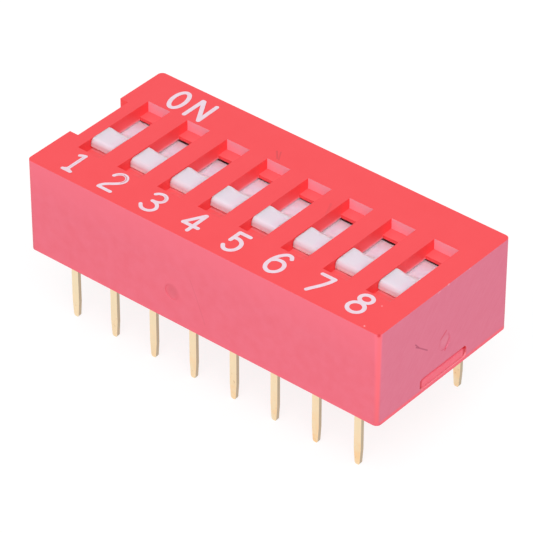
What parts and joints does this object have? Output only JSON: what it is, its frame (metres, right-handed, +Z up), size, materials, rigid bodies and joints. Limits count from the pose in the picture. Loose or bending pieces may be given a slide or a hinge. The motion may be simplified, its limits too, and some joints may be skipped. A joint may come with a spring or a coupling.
{
  "type": "dip switch",
  "caption": "Recessed slide DIP switch: a moulded housing with small slide actuators in stepped slots, and straight flat leads in parallel rows for a through-hole board.",
  "frame": {"origin": "middle of the seat plane, at the underside of the cover's rim", "axes": "+X from position 1 towards the last position, +Y from OFF towards ON, +Z up, away from the board"},
  "size_m": [0.0216, 0.0098, 0.0091],
  "materials": {
    "cover_plastic": "satin moulded plastic, red",
    "base_plastic": "satin moulded plastic, red",
    "actuator_plastic": "satin moulded plastic, white",
    "gold_plating": "thin gold plating on stamped copper alloy"
  },
  "bodies": {
    "housing": {"cover": "cover_plastic", "base": "base_plastic", "lead_f1": "gold_plating", "lead_r1": "gold_plating", "lead_f2": "gold_plating", "lead_r2": "gold_plating", "lead_f3": "gold_plating", "lead_r3": "gold_plating", "lead_f4": "gold_plating", "lead_r4": "gold_plating", "lead_f5": "gold_plating", "lead_r5": "gold_plating", "lead_f6": "gold_plating", "lead_r6": "gold_plating", "lead_f7": "gold_plating", "lead_r7": "gold_plating", "lead_f8": "gold_plating", "lead_r8": "gold_plating"},
    "switch_1": {"slider_1": "actuator_plastic", "contact_1": "gold_plating"},
    "switch_2": {"slider_2": "actuator_plastic", "contact_2": "gold_plating"},
    "switch_3": {"slider_3": "actuator_plastic", "contact_3": "gold_plating"},
    "switch_4": {"slider_4": "actuator_plastic", "contact_4": "gold_plating"},
    "switch_5": {"slider_5": "actuator_plastic", "contact_5": "gold_plating"},
    "switch_6": {"slider_6": "actuator_plastic", "contact_6": "gold_plating"},
    "switch_7": {"slider_7": "actuator_plastic", "contact_7": "gold_plating"},
    "switch_8": {"slider_8": "actuator_plastic", "contact_8": "gold_plating"}
  },
  "joints": [
    {"name": "slide_1", "type": "slide", "parent": "housing", "child": "switch_1", "axis": [0, 1, 0], "range_m": [0, 0.00137]},
    {"name": "slide_2", "type": "slide", "parent": "housing", "child": "switch_2", "axis": [0, 1, 0], "range_m": [0, 0.00137]},
    {"name": "slide_3", "type": "slide", "parent": "housing", "child": "switch_3", "axis": [0, 1, 0], "range_m": [0, 0.00137]},
    {"name": "slide_4", "type": "slide", "parent": "housing", "child": "switch_4", "axis": [0, 1, 0], "range_m": [0, 0.00137]},
    {"name": "slide_5", "type": "slide", "parent": "housing", "child": "switch_5", "axis": [0, 1, 0], "range_m": [0, 0.00137]},
    {"name": "slide_6", "type": "slide", "parent": "housing", "child": "switch_6", "axis": [0, 1, 0], "range_m": [0, 0.00137]},
    {"name": "slide_7", "type": "slide", "parent": "housing", "child": "switch_7", "axis": [0, 1, 0], "range_m": [0, 0.00137]},
    {"name": "slide_8", "type": "slide", "parent": "housing", "child": "switch_8", "axis": [0, 1, 0], "range_m": [0, 0.00137]}
  ]
}
